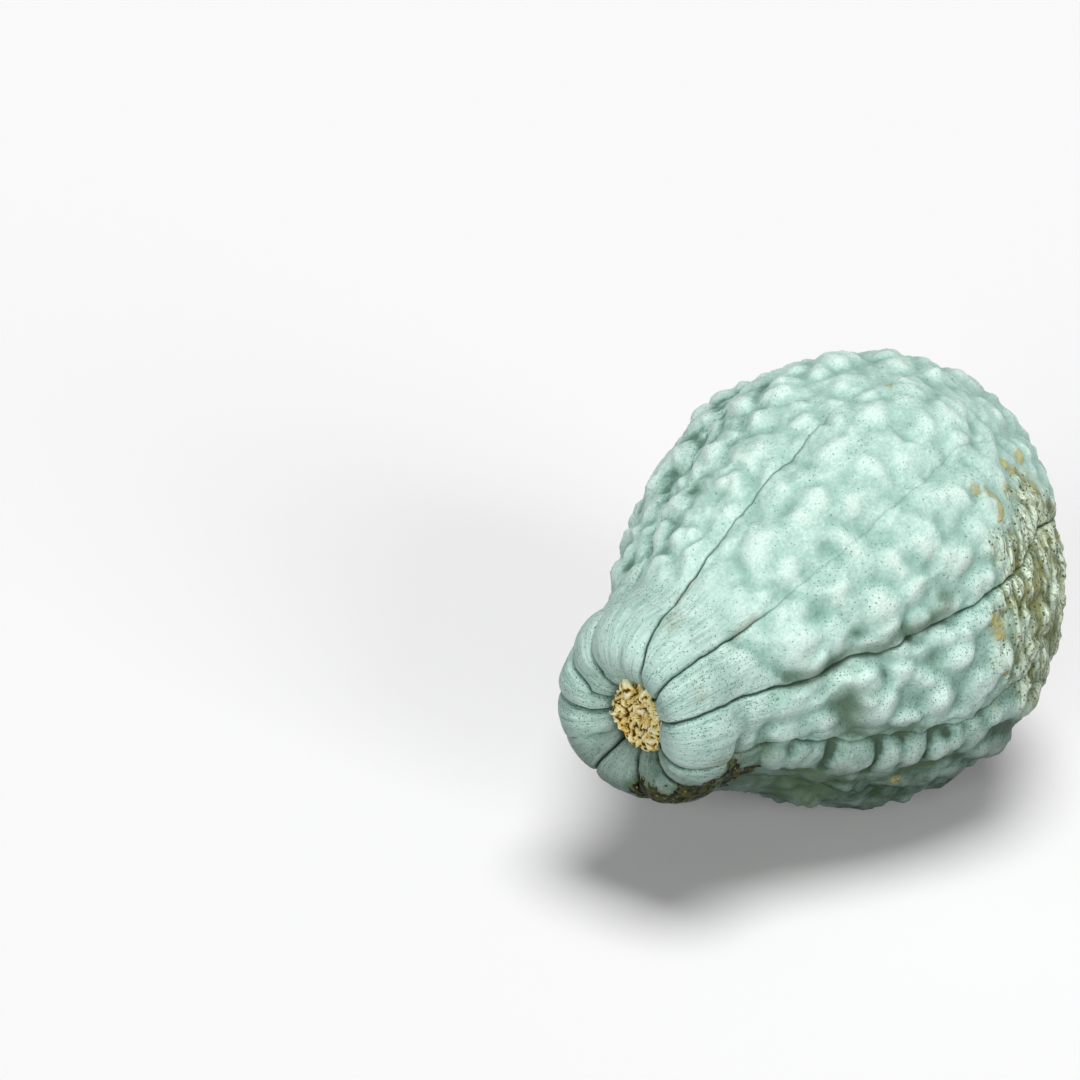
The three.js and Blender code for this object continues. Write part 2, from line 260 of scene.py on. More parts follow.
STEM_OUTLINE = [
    (PIT_FLOOR + 0.4, 0), (PIT_FLOOR + 0.4, PIT_RADIUS - 1.5), (PIT_FLOOR + 3, PIT_RADIUS + 1),
    (PIT_FLOOR + 6, PIT_RADIUS + 2), (PIT_FLOOR + 10, PIT_RADIUS + 3),
    (PIT_FLOOR + 14, PIT_RADIUS + 5), (PIT_FLOOR + 16, PIT_RADIUS + 4),
    (PIT_FLOOR + 15.5, PIT_RADIUS), (PIT_FLOOR + 12.5, 0.72 * PIT_RADIUS),
    (PIT_FLOOR + 10, 0.52 * PIT_RADIUS), (PIT_FLOOR + 10.5, 0.38 * PIT_RADIUS),
    (PIT_FLOOR + 14, 0.2 * PIT_RADIUS), (PIT_FLOOR + 15, 0),
]
STEM_SCALE = 0.88
STEM_SHIFT = {"up": 3, "away": -5.5}
STEM_ROWS = 100
STEM_COLUMNS = 240
# The scar's points: (angle, half width in degrees, how far each stands out).
STEM_SPIKES = [
    (2, 8, 5), (30, 12, 2), (60, 14, 2.5), (97, 8, 6), (140, 12, 2.5), (170, 10, 2),
    (200, 12, 3), (235, 9, 3), (285, 12, 2), (330, 10, 2.5),
]
STEM_FLARE = [(1.6, 7, 0), (0.9, 3, 40)]
STEM_RELIEF = {"folds": 3.2, "crumples": 2.6, "creases": 0.9}

# ---- colours and light ----

# Colours are linear red, green and blue.
BLOOM = (0.52, 0.735, 0.66)
# Pale bloom, also used as painted highlight on the crests and upward faces.
PALE_BLOOM_AND_HIGHLIGHT = (0.73, 0.89, 0.83)
TAN_BLOOM = (0.70, 0.74, 0.60)
MINT = (0.44, 0.645, 0.57)
TEAL = (0.22, 0.39, 0.33)
# DEEP_TEAL and DEEP_GREEN are painted shade in the deepest hollows, OLIVE_SHADE is painted shade in
# creases, and UNDER_GREEN is the underside's green darkened with painted shade.
DEEP_TEAL = (0.09, 0.18, 0.13)
DEEP_GREEN = (0.04, 0.07, 0.038)
OLIVE_SHADE = (0.08, 0.125, 0.065)
UNDER_GREEN = (0.035, 0.062, 0.033)
CORK_PALE = (0.80, 0.93, 0.76)
CORK_GREY = (0.25, 0.34, 0.22)
CORK_YELLOW = (0.52, 0.50, 0.16)
CORK_OLIVE = (0.05, 0.06, 0.014)
SPECK = (0.05, 0.10, 0.07)
BROWN = (0.30, 0.24, 0.13)
OCHRE = (0.27, 0.20, 0.035)
STRAW = (0.62, 0.54, 0.20)
EARTH_STAIN = (0.09, 0.11, 0.045)
# Soil, near-black partly as painted shade under the nose.
SOIL_AND_SHADE = (0.004, 0.005, 0.003)
SOIL_OLIVE = (0.05, 0.06, 0.02)
CLEFT = (0.025, 0.045, 0.03)
STEM_STRAW = (1, 0.88, 0.40)
STEM_GOLD = (0.92, 0.64, 0.15)
# STEM_CREAM and STEM_BROWN are also the cork's painted highlight and painted shade.
STEM_CREAM = (1, 1, 0.74)
STEM_BROWN = (0.12, 0.06, 0.006)
WHITE = (1, 1, 1)
FLOOR_SEEN = (0.98, 0.98, 0.98)
FLOOR_BOUNCE = (0.16, 0.16, 0.16)

# The rind's mottled patterns: scale and softness.
MOTTLES = {
    "broad": (9.0, 0.2), "clouds": (38.0, 0.2), "rubbed": (105.0, 0.3), "grains": (420.0, 0.22),
    "dark_grains": (640.0, 0.15), "flecks": (240.0, 0.12), "speck_field": (26.0, 0.15),
    "crumbs": (260.0, 0.08), "flaking": (130.0, 0.16),
}
# The same along the fruit's grain: how stretched round and along it, scale and softness.
STREAKS = {
    "streaks": (1.0, 0.1, 36.0, 0.2), "fine_streaks": (1.0, 0.16, 95.0, 0.14),
    "worn": (1.0, 0.5, 14.0, 0.2), "smudges": (1.0, 0.45, 7.0, 0.14),
}

# Soft lamps: strength, softness, tilt from overhead and turn about Z, in degrees.
LAMPS = {
    "overhead_light": (0.69, 32, 8, -20),
    "near_light": (0.41, 26, 73, -14),
    "stem_side_light": (0.54, 30, 80, -80),
}
WORLD_LIGHT = 0.07
FLOOR_HALF_WIDTH = 8  # metres

CAMERA_PLACE = Vector((-1078.6, -748.4, 526.5))  # from the belly's centre
CAMERA_LENS = 71.71
CAMERA_SENSOR = 36
CAMERA_TILT = 69
CAMERA_TURN = -46.5


def smoothstep(low, high, value):
    share = np.clip((value - low) / (high - low), 0, 1)
    return share * share * (3 - 2 * share)


def blended(low, high, share):
    return low + (high - low) * share


def uneven(number):
    """A fixed, uneven value between -1 and 1 for each number: the far digits of a sine."""
    return 2 * (math.sin(number * 12.9898) * 43758.5453 % 1) - 1


def angle_between(a, b):
    return (a - b + 180) % 360 - 180


def spline(points, count):
    """Even steps along a smooth line through the points."""
    knots = np.array([points[0], *points, points[-1]], float)
    share = np.linspace(0, 1, 40, endpoint=False)[:, None]
    pieces = []
    for p0, p1, p2, p3 in zip(knots, knots[1:], knots[2:], knots[3:]):
        pieces.append(
            p1 + 0.5 * share * (p2 - p0)
            + share**2 * (p0 - 2.5 * p1 + 2 * p2 - 0.5 * p3)
            + share**3 * (-0.5 * p0 + 1.5 * p1 - 1.5 * p2 + 0.5 * p3)
        )
    line = np.concatenate([*pieces, knots[-1:]])
    steps = np.r_[0, np.cumsum(np.hypot(*np.diff(line, axis=0).T))]
    even = np.linspace(0, steps[-1], count)
    return np.stack([np.interp(even, steps, line[:, axis]) for axis in (0, 1)], axis=1)


def along(path, station):
    """The angle at each station, on a smooth line through the path's points."""
    stations, angles = spline(path, 300).T
    return np.interp(station, np.maximum.accumulate(stations), angles)


def run_of(station, radius):
    """The station, counted on past the nose's crest and in towards the axis."""
    inside = (station >= PIT_FLOOR) & (radius < NOSE_CREST["radius"])
    return np.where(inside, NOSE_CREST["station"] + NOSE_CREST["radius"] - radius, station)


def suture_angle(index, run):
    turns, which = divmod(index, len(SUTURES))
    angle = along(SUTURES[which][0], run) + 360 * turns
    for sway, length in SUTURE_WAVES:
        angle = angle + sway * np.sin(2 * math.pi * run / length + which * length)
    return angle


def centreline(station, radius):
    """How far up and away from the straight axis the fruit's middle lies."""
    blossom = station < 0
    share = (station / np.where(blossom, BLOSSOM_BEND["at"], NECK_BEND["at"])) ** 2
    towards_pit = 1 - smoothstep(PIT_OFFSET_RADII["all"], PIT_OFFSET_RADII["none"], radius)
    pit_share = np.where(station > NECK_END, towards_pit, 0)
    return [
        np.where(blossom, BLOSSOM_BEND[way], NECK_BEND[way]) * share + PIT_OFFSET[way] * pit_share
        for way in ("up", "away")
    ]


def laid_down(station, angle, reach, radius):
    """Points on the fruit as it lies, in millimetres from the belly's centre."""
    up, away = centreline(station, radius)
    turn = np.radians(angle)
    side = away - SECTION_WIDTH * reach * np.sin(turn)
    height = up + SECTION_HEIGHT * reach * np.cos(turn)
    droop = math.radians(NECK_DROOP)
    return np.stack([
        -station * math.cos(droop) - height * math.sin(droop),
        side,
        -station * math.sin(droop) + height * math.cos(droop),
    ], axis=1)


# ---- relief ----


def lumps(points, size):
    """Smooth noise between -1 and 1 at each point, with lumps of about this size."""
    return np.array([noise.noise(point) for point in (points / size).tolist()])


def layered(points, layers):
    """Smooth noise summed from its layers."""
    return sum(height * lumps(points + at, size) for height, size, at in layers)


def cobbles(points, size, gap):
    """Rounded cells about this far apart, from 0 in the gaps between them to about 1 on top."""
    distances = [noise.voronoi(point)[0][:2] for point in (points / size).tolist()]
    nearest, second = np.array(distances).T
    return smoothstep(0, gap, second - nearest) * (1.1 - 0.9 * nearest**2)


def lobe_relief(angle, run, radius):
    """The lobes' relief, how far off the nearest suture is, and how deep its cleft is there."""
    towards_neck = smoothstep(NECK_START, NECK_END, run)
    relief = np.full(len(angle), float(LOBE_HEIGHT))
    seam = np.full(len(angle), 1e3)
    seam_depth = np.zeros(len(angle))
    for index, (path, valley, cleft, _) in enumerate(SUTURES):
        turn = np.abs(np.radians(angle_between(angle, suture_angle(index, run))))
        away = turn * radius
        start = path[0][0]
        cleft_depth = blended(*cleft, towards_neck) * smoothstep(start, start + SUTURE_FADE, run)
        relief -= blended(*valley, towards_neck) * np.exp(-turn / SUTURE_SPREAD)
        relief -= cleft_depth * np.exp(-((away / CLEFT_HALF_WIDTH) ** 2))
        seam_depth = np.where(away < seam, cleft_depth, seam_depth)
        seam = np.minimum(away, seam)
    return relief, seam, seam_depth


def far_warts():
    warts = []
    for lobe, height in FAR_LOBES.items():
        for station in FAR_STATIONS:
            for share in FAR_SHARES:
                seed = lobe * 1000 + station + share * 10
                start = suture_angle(lobe, float(station))
                end = suture_angle(lobe + 1, float(station))
                step = FAR_PITCH * (share - FAR_SHARES[0])
                warts.append((
                    station + FAR_WANDER["along"] * uneven(seed + 1) + step,
                    blended(start, end, share + FAR_WANDER["around"] * uneven(seed + 2)),
                    FAR_WART["radius"] + FAR_WART["spread"] * uneven(seed + 3),
                    FAR_WART["radius"] + FAR_WART["spread"] * uneven(seed + 4),
                    height * (1 + FAR_WANDER["height"] * uneven(seed + 5)),
                ))
    return warts


def wart_relief(plain, angle, station, radius):
    highest = np.zeros(len(angle))
    ragged = 1 + layered(plain, WART_EDGE)
    for at, turned, half_length, half_width, height in WARTS + far_warts():
        lengthways = (station - at) / half_length
        around = np.radians(angle_between(angle, turned)) * radius / half_width
        reach = np.hypot(lengthways, around) * ragged
        inside = np.clip(reach / WART_FOOT, 0, 1)
        dome = (1 - inside**WART_FLATNESS) ** WART_SOFTNESS
        highest = np.maximum(highest, WART_HEIGHTS * height * dome)
    return highest


def swell_relief(plain, lowness, neck):
    return sum(
        layered(plain, [layer]) * blended(*by_height, lowness) * blended(1, on_neck, neck)
        for layer, by_height, on_neck in SWELLS
    )


def pillow_relief(plain, angle, station, below):
    """The pillows between the warts, lower on the near side."""
    bent = plain + layered(plain, [PILLOW_SWAY])[:, None]
    off = np.abs(angle_between(angle, NEAR_SIDE["angle"])) - NEAR_SIDE["half_turn"]
    near = smoothstep(NEAR_SIDE["from"], NEAR_SIDE["to"], station)
    near = near * (1 - smoothstep(0, NEAR_SIDE["fade"], off))
    return sum(
        (cobbles(bent + at, size, gap) - 0.5) * blended(*heights, near) * blended(*shares, below)
        for size, gap, at, heights, shares in PILLOWS
    )


def distance_to(points, angle, station, radius):
    """How far over the rind each vertex is from the line through the points."""
    nearest = np.full(len(angle), 1e3)
    for (station_a, angle_a), (station_b, angle_b) in zip(points, points[1:] or points):
        ahead = np.stack([station - station_a, np.radians(angle_between(angle, angle_a)) * radius])
        line = np.stack([
            np.full(len(angle), float(station_b - station_a)),
            np.radians(angle_between(angle_b, angle_a)) * radius,
        ])
        share = np.clip((ahead * line).sum(0) / ((line * line).sum(0) + 1e-6), 0, 1)
        nearest = np.minimum(nearest, np.hypot(*(ahead - line * share)))
    return nearest


def distance_in_space(points, plain):
    """How far each vertex is from the line through the (station, angle, radius) points."""
    steps = np.linspace(0, len(points) - 1, 50)
    line = [np.interp(steps, range(len(points)), values) for values in np.array(points, float).T]
    station, angle, radius = line
    spots = laid_down(station, angle, radius, radius)
    return np.min([np.linalg.norm(plain - spot, axis=1) for spot in spots], axis=0)


def crease_relief(angle, station, radius):
    deepest = np.zeros(len(angle))
    for points, depth, half_width in CREASES:
        distance = distance_to(points, angle, station, radius)
        deepest = np.maximum(deepest, depth * np.exp(-((distance / half_width) ** 2)))
    return deepest


def cork_relief(plain, angle, station, radius):
    """How corky the rind is, the cork's relief, and the furrows between its folds."""
    across = np.abs(station - CORK["station"]) / CORK["half_length"]
    middle = CORK["angle"] + CORK_DRIFT["turn"] * np.maximum(0, CORK_DRIFT["from"] - station)
    around = np.abs(angle_between(angle, middle)) / CORK["half_turn"]
    widened = smoothstep(0, CORK_WIDENING["radius"], radius)
    around = around * blended(CORK_WIDENING["share"], 1, widened)
    reach = (across**3 + around**3) ** (1 / 3)
    cork = 1 - smoothstep(0.76, 1.04, reach + layered(plain, CORK_EDGE))
    turned = np.radians(angle) * BELLY_RADIUS / CORK_FOLDS["length"]
    swayed = station / CORK_FOLDS["apart"] + layered(plain, [CORK_FOLDS["sway"]])
    folds = smoothstep(0, 0.3, np.abs(lumps(np.stack([swayed, turned, station * 0], axis=1), 1)))
    relief = cork * (CORK_FOLDS["height"] * folds + layered(plain, [CORK_LUMPS]) - CORK_SINK)
    return cork, relief, cork * (1 - folds)


def button_relief(tip):
    """The blossom end's button and the ring sunk round it, at a share of the button's radius."""
    off_ring = (tip - BLOSSOM_BUTTON["ring"]) / BLOSSOM_BUTTON["ring_width"]
    ring = BLOSSOM_BUTTON["ring_depth"] * np.exp(-(off_ring**2))
    return BLOSSOM_BUTTON["height"] * np.exp(-(tip**2)) - ring


def stained(marks, angle, station, radius, unevenness):
    """1 along the middle of each mark, fading to 0 past its uneven edge."""
    strongest = np.zeros(len(angle))
    for points, half_width in marks:
        distance = distance_to(points, angle, station, radius) + unevenness
        strongest = np.maximum(strongest, 1 - smoothstep(0, 1.6, distance / half_width))
    return strongest


# ---- meshes ----


def spun(name, outline, columns):
    """A closed shell turned about Z from an outline of (station, radius) pairs."""
    bm = bmesh.new()
    ends = [bm.verts.new((0, 0, 0)), bm.verts.new((0, 0, 1))]
    bmesh.ops.subdivide_edges(bm, edges=[bm.edges.new(ends)], cuts=len(outline) - 2)
    rail = sorted(bm.verts, key=lambda vert: vert.co.z)
    for vert, (station, radius) in zip(rail, outline):
        vert.co = (radius, 0, station)
    bmesh.ops.spin(
        bm, geom=rail + list(bm.edges), cent=(0, 0, 0), axis=(0, 0, 1), dvec=(0, 0, 0),
        angle=2 * math.pi, steps=columns, use_merge=True,
    )
    bmesh.ops.remove_doubles(bm, verts=bm.verts, dist=1e-4)
    bmesh.ops.recalc_face_normals(bm, faces=bm.faces)
    mesh = bpy.data.meshes.new(name)
    bm.to_mesh(mesh)
    bm.free()
    mesh.shade_smooth()
    piece = bpy.data.objects.new(name, mesh)
    bpy.context.scene.collection.objects.link(piece)
    return piece


def vectors_of(mesh, field):
    flat = np.empty(len(mesh.vertices) * 3, np.float32)
    mesh.vertices.foreach_get(field, flat)
    return flat.reshape(-1, 3).astype(float)


def put_points(mesh, points):
    mesh.vertices.foreach_set("co", points.astype(np.float32).ravel())
    mesh.update()


def box_offset():
    """Where the belly's centre is in the part's frame, in millimetres."""
    lowest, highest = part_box("squash_body")
    middle = (lowest + highest) / 2 / MM
    return (middle.x + BELLY_CENTRE.x, middle.y + BELLY_CENTRE.y, lowest.z / MM + BELLY_CENTRE.z)


def put_in_frame(mesh, points):
    """Moves the vertices to points that are in millimetres from the belly's centre."""
    put_points(mesh, (points + np.array(box_offset())) * MM)


def turn_faces_out(mesh):
    """Laying a shell down mirrors it, so once its normals have been read its faces are turned out."""
    mesh.flip_normals()


def keep_values(mesh, name, values):
    mesh.attributes.new(name, "FLOAT", "POINT").data.foreach_set("value", values.astype(np.float32))


def smoothed(mesh, values, rounds):
    """The values, each averaged with its neighbours this many times."""
    pairs = np.empty(len(mesh.edges) * 2, np.int32)
    mesh.edges.foreach_get("vertices", pairs)
    one, other = pairs.reshape(-1, 2).T
    count = np.bincount(one, minlength=len(values)) + np.bincount(other, minlength=len(values))
    for _ in range(rounds):
        total = np.bincount(one, values[other], len(values))
        total += np.bincount(other, values[one], len(values))
        values = 0.5 * values + 0.5 * total / count
    return values


def column_angle(turn, run):
    """Columns keep to their lobe, so one runs along each suture."""
    widths = [suture[3] for suture in SUTURES]
    starts = np.r_[0, np.cumsum(widths)]
    column = turn * starts[-1]
    lobe = np.clip(np.searchsorted(starts, column + 1e-3, side="right") - 1, 0, len(widths) - 1)
    share = (column - starts[lobe]) / np.array(widths)[lobe]
    share -= COLUMN_CROWDING * np.sin(2 * math.pi * share) / (2 * math.pi)
    angles = np.array([suture_angle(index, run) for index in range(len(widths) + 1)])
    rows = np.arange(len(run))
    return blended(angles[lobe, rows], angles[lobe + 1, rows], share)


def spun_layout(mesh):
    """A spun shell's turn, station and radius, and how its normals face outwards and along."""
    x, y, station = vectors_of(mesh, "co").T
    radius = np.hypot(x, y)
    turn = np.arctan2(y, x) / (2 * math.pi) % 1
    normal_x, normal_y, lengthwise = vectors_of(mesh, "normal").T
    outwards = (x * normal_x + y * normal_y) / np.maximum(radius, 1e-6)
    return turn, station, radius, outwards, lengthwise


def make_body():
    outline = spline(BODY_OUTLINE, BODY_ROWS)
    outline[0, 1] = 0
    pit = np.array([outline[-1], *PIT_OUTLINE[:-1]], float)
    outline = np.concatenate([outline, spline(pit, PIT_ROWS)[1:], [PIT_OUTLINE[-1]]])
    piece = spun("squash_rind", outline, sum(suture[3] for suture in SUTURES))
    mesh = piece.data
    turn, station, radius, outwards, lengthwise = spun_layout(mesh)
    run = run_of(station, radius)
    angle = column_angle(turn, run)
    off_top = np.abs(angle_between(angle, 0))

    plain = laid_down(station, angle, radius, radius)
    neck = smoothstep(*NECK_SKIN, station)
    lowness = smoothstep(*FLANKS, off_top)
    below = smoothstep(*UNDERSIDE, off_top)
    lobes, seam, seam_depth = lobe_relief(angle, run, radius)
    cork, corky, furrows = cork_relief(plain, angle, station, radius)
    off_earth = distance_in_space(EARTH_MARK, plain) + layered(plain, EARTH_EDGE)
    earth = 1 - smoothstep(*EARTH_REACH, off_earth)
    relief = lobes + wart_relief(plain, angle, station, radius) - crease_relief(angle, station, radius)
    relief += swell_relief(plain, lowness, neck)
    relief += pillow_relief(plain, angle, station, below) * (1 - neck)
    relief += corky + earth * (layered(plain, [EARTH_CRUMBS]) + 0.4)
    put_points(mesh, plain)
    plain_rise = vectors_of(mesh, "normal")[:, 2]

    # The relief dies out at the blossom end and in the pit. On the nose the lobes' height goes first.
    share = np.where(station < 0, smoothstep(10, 100, radius), 1)
    on_nose = station > NECK_END
    share = share * np.where(on_nose, smoothstep(PIT_RADIUS - 1, PIT_RADIUS + 6, radius), 1)
    nose_share = np.where(on_nose, smoothstep(PIT_RADIUS + 2, PIT_RADIUS + 24, radius), 1)
    tip = np.where(station < 0, radius, 1e3) / BLOSSOM_BUTTON["radius"]
    relief = (relief - LOBE_HEIGHT * (1 - nose_share)) * share + button_relief(tip)
    reach = radius + relief * outwards
    placed = laid_down(station + relief * lengthwise * share, angle, reach, radius)
    placed[:, 2] = np.maximum(placed[:, 2], -BELLY_CENTRE.z)

    ochre = stained(OCHRE_MARKS, angle, station, radius, 0.7 * lumps(plain, 6))
    for name, values in {
        # how far each point lies below its smoothed neighbours: the rind paints shade in it and highlight
        # on the crests
        "hollow": np.clip(smoothed(mesh, relief, 60) - relief, -4, 6),
        "seam": np.minimum(seam, 20),
        "seam_depth": np.minimum(seam_depth / 1.6, 1) * share,
        "neck": neck,
        "lowness": lowness,
        "cork": cork,
        "furrow": furrows,
        "ochre": np.maximum(ochre, 1 - smoothstep(0.8, 1.3, tip)),
        "brown": stained(BROWN_STAINS, angle, run, radius, 2 * lumps(plain, 8)),
        "olive": stained(OLIVE_SHADES, angle, run, radius, 3 * lumps(plain, 9)),
        "earth": earth,
        "underside": below * (1 - 0.7 * cork) * blended(1, 0.75, smoothstep(185, 215, run)),
        # darker rind towards the blossom end, partly painted shade
        "blossom": 1 - smoothstep(-120, -50, station),
        "far": smoothstep(0, 50, -angle_between(angle, 0)) * (1 - neck),
    }.items():
        keep_values(mesh, name, values)
    turned = np.radians(angle)
    lengthways = np.stack([np.cos(turned), np.sin(turned), run / BELLY_RADIUS], axis=1)
    grain = mesh.attributes.new("lengthways", "FLOAT_VECTOR", "POINT")
    grain.data.foreach_set("vector", lengthways.astype(np.float32).ravel())
    put_in_frame(mesh, placed)
    # How much more each face leans down than on the plain fruit: the rind paints it as shade, and its
    # opposite as highlight.
    leaning = plain_rise - vectors_of(mesh, "normal")[:, 2]
    keep_values(mesh, "leaning", smoothed(mesh, leaning, 3))
    turn_faces_out(mesh)
    return piece


def make_stem():
    piece = spun("corky_scar", spline(STEM_OUTLINE, STEM_ROWS), STEM_COLUMNS)
    mesh = piece.data
    turn, station, radius, outwards, lengthwise = spun_layout(mesh)
    angle = turn * 360
    top = smoothstep(PIT_FLOOR + 3, PIT_FLOOR + 9, station)
    points = vectors_of(mesh, "co")
    flare = layered(points, STEM_FLARE)
    for at, half_width, reach in STEM_SPIKES:
        off = np.abs(angle_between(angle, at)) / half_width
        flare += reach * np.clip(1 - off, 0, 1)
    flare = flare * smoothstep(0.7 * PIT_RADIUS, PIT_RADIUS + 3, radius) * top
    bent = points + 2.5 * lumps(points, 5)[:, None]
    folds = 2.8 * np.abs(lumps(bent + 90, 12)) - 0.6
    crumples = 1.6 * np.abs(lumps(bent + 20, 5)) + 0.8 * lumps(bent + 30, 8) - 0.4
    creases = 1 - 2.6 * np.abs(lumps(bent + 50, 2.2))
    relief = STEM_RELIEF["folds"] * folds + STEM_RELIEF["crumples"] * crumples
    relief = (relief + STEM_RELIEF["creases"] * creases) * top
    # How far each point lies below its neighbours: the cork's finish paints shade and highlight from it.
    keep_values(mesh, "hollow", np.clip(smoothed(mesh, relief, 30) - relief, -2, 2))
    reach = STEM_SCALE * (radius + relief * outwards + flare)
    in_pit = np.full(len(radius), float(PIT_RADIUS))
    placed = laid_down(station + relief * lengthwise, angle, reach, in_pit)
    put_in_frame(mesh, placed + np.array([0, STEM_SHIFT["away"], STEM_SHIFT["up"]]))
    turn_faces_out(mesh)
    return piece


body = make_body()
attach(body, "root")
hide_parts("squash_body")
stem = make_stem()
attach(stem, "root")
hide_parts("stem_scar")


# ---- finishes ----


def fill(tree, socket, value):
    """Links the socket to another, or sets its value."""
    if isinstance(value, bpy.types.NodeSocket):
        tree.links.new(value, socket)
    elif socket.type == "RGBA":
        socket.default_value = (*value, 1)
    else:
        socket.default_value = value


def node(tree, kind, inputs=None, **settings):
    made = tree.nodes.new(kind)
    for name, value in settings.items():
        setattr(made, name, value)
    for name, value in (inputs or {}).items():
        fill(tree, made.inputs[name], value)
    return made


def new_material(name):
    material = bpy.data.materials.new(name)
    material.use_nodes = True
    tree = material.node_tree
    tree.nodes.clear()
    shader = node(tree, "ShaderNodeBsdfPrincipled")
    node(tree, "ShaderNodeOutputMaterial", {"Surface": shader.outputs["BSDF"]})
    return material, tree, shader


def new_group(name, inputs):
    """A shader node group with one mask as its output. Inputs: {name: default, None for a vector}."""
    tree = bpy.data.node_groups.new(name, "ShaderNodeTree")
    for label, default in inputs.items():
        kind = "NodeSocketVector" if default is None else "NodeSocketFloat"
        socket = tree.interface.new_socket(label, in_out="INPUT", socket_type=kind)
        if default is not None:
            socket.default_value = default
    tree.interface.new_socket("Mask", in_out="OUTPUT", socket_type="NodeSocketFloat")
    return tree, node(tree, "NodeGroupInput").outputs


def math_node(tree, operation, *values):
    numbered = dict(enumerate(values))
    return node(tree, "ShaderNodeMath", numbered, operation=operation).outputs[0]


def share_of(tree, value, share):
    return math_node(tree, "MULTIPLY", value, share)


def ramp(tree, value, low, high, to_low=0.0, to_high=1.0):
    values = {"Value": value, "From Min": low, "From Max": high, "To Min": to_low, "To Max": to_high}
    return node(tree, "ShaderNodeMapRange", values, interpolation_type="SMOOTHSTEP").outputs[0]


def mixed(tree, share, first, second):
    """The first colour, with this share of the second."""
    colours = {0: share, 6: first, 7: second}  # a colour mix's own sockets, and 2 for its result
    return node(tree, "ShaderNodeMix", colours, data_type="RGBA").outputs[2]


def attribute(tree, name, output="Fac"):
    return node(tree, "ShaderNodeAttribute", attribute_name=name).outputs[output]


def placed(tree, group, **inputs):
    return node(tree, "ShaderNodeGroup", inputs, node_tree=group).outputs[0]


def noise_node(tree, **inputs):
    return node(tree, "ShaderNodeTexNoise", inputs).outputs[0]


def mottle_group():
    """Soft cloudy patches, from 0 to 1."""
    tree, given = new_group("mottle", {"Vector": None, "Scale": 50.0, "Softness": 0.25})
    cloud = noise_node(
        tree, Vector=given["Vector"], Scale=given["Scale"], Detail=3.0, Roughness=0.55
    )
    low = math_node(tree, "SUBTRACT", 0.5, given["Softness"])
    high = math_node(tree, "ADD", 0.5, given["Softness"])
    node(tree, "NodeGroupOutput", {"Mask": ramp(tree, cloud, low, high)})
    return tree


def speck_group():
    """Small round specks, one or none to each cell."""
    tree, given = new_group("specks", {"Vector": None, "Scale": 400.0, "Size": 0.3, "Share": 0.4})
    cells = node(
        tree, "ShaderNodeTexVoronoi", {"Vector": given["Vector"], "Scale": given["Scale"]}
    ).outputs
    inner = math_node(tree, "MULTIPLY", given["Size"], 0.55)
    round_speck = ramp(tree, cells["Distance"], inner, given["Size"], 1.0, 0.0)
    draw = node(tree, "ShaderNodeSeparateColor", {"Color": cells["Color"]}).outputs[0]
    kept = math_node(tree, "LESS_THAN", draw, given["Share"])
    node(tree, "NodeGroupOutput", {"Mask": math_node(tree, "MULTIPLY", round_speck, kept)})
    return tree


def crackle_group():
    """Thin dark lines between angular cells."""
    tree, given = new_group("crackle", {"Vector": None, "Scale": 200.0, "Width": 0.08})
    bent = node(
        tree, "ShaderNodeTexNoise", {"Vector": given["Vector"], "Scale": given["Scale"]}
    ).outputs["Color"]
    shift = node(
        tree, "ShaderNodeVectorMath", {0: bent, "Scale": 0.0015}, operation="SCALE"
    ).outputs[0]
    moved = node(
        tree, "ShaderNodeVectorMath", {0: given["Vector"], 1: shift}, operation="ADD"
    ).outputs[0]
    edge = node(
        tree, "ShaderNodeTexVoronoi", {"Vector": moved, "Scale": given["Scale"]},
        feature="DISTANCE_TO_EDGE",
    ).outputs[0]
    node(tree, "NodeGroupOutput", {"Mask": ramp(tree, edge, 0.0, given["Width"], 1.0, 0.0)})
    return tree


mottle = mottle_group()
specks = speck_group()
crackle = crackle_group()


def stretched(tree, around, along_fruit):
    """The rind's own grain coordinates, scaled round the fruit and along it."""
    grain = attribute(tree, "lengthways", "Vector")
    scaled = {"Vector": grain, "Scale": (around, around, along_fruit)}
    return node(tree, "ShaderNodeMapping", scaled).outputs[0]


def rind_masks(tree):
    """The values that the rind's colours and its bump read, by name."""
    place = node(tree, "ShaderNodeTexCoord").outputs["Object"]
    on = {"place": place}
    for name in ("neck", "cork", "lowness", "leaning", "ochre", "earth", "underside"):
        on[name] = attribute(tree, name)
    for name, (scale, softness) in MOTTLES.items():
        on[name] = placed(tree, mottle, Vector=place, Scale=scale, Softness=softness)
    for name, (around, along_fruit, scale, softness) in STREAKS.items():
        grain = stretched(tree, around, along_fruit)
        on[name] = placed(tree, mottle, Vector=grain, Scale=scale, Softness=softness)
    worn = ramp(tree, on["worn"], 0.0, 1.0, 0.25, 1.0)
    on["fine_streaks"] = share_of(tree, on["fine_streaks"], worn)
    # The hollow value below is painted light: shade where it is high, highlight where it is low. The
    # rubbed noise makes it uneven.
    rubbed = math_node(tree, "ADD", on["rubbed"], share_of(tree, on["grains"], 0.5))
    rubbed = ramp(tree, rubbed, 0.0, 1.5, 0.5, -0.5)
    hollow = math_node(tree, "ADD", attribute(tree, "hollow"), rubbed)
    on["hollow"] = math_node(tree, "ADD", hollow, share_of(tree, on["leaning"], 1.5))
    return on


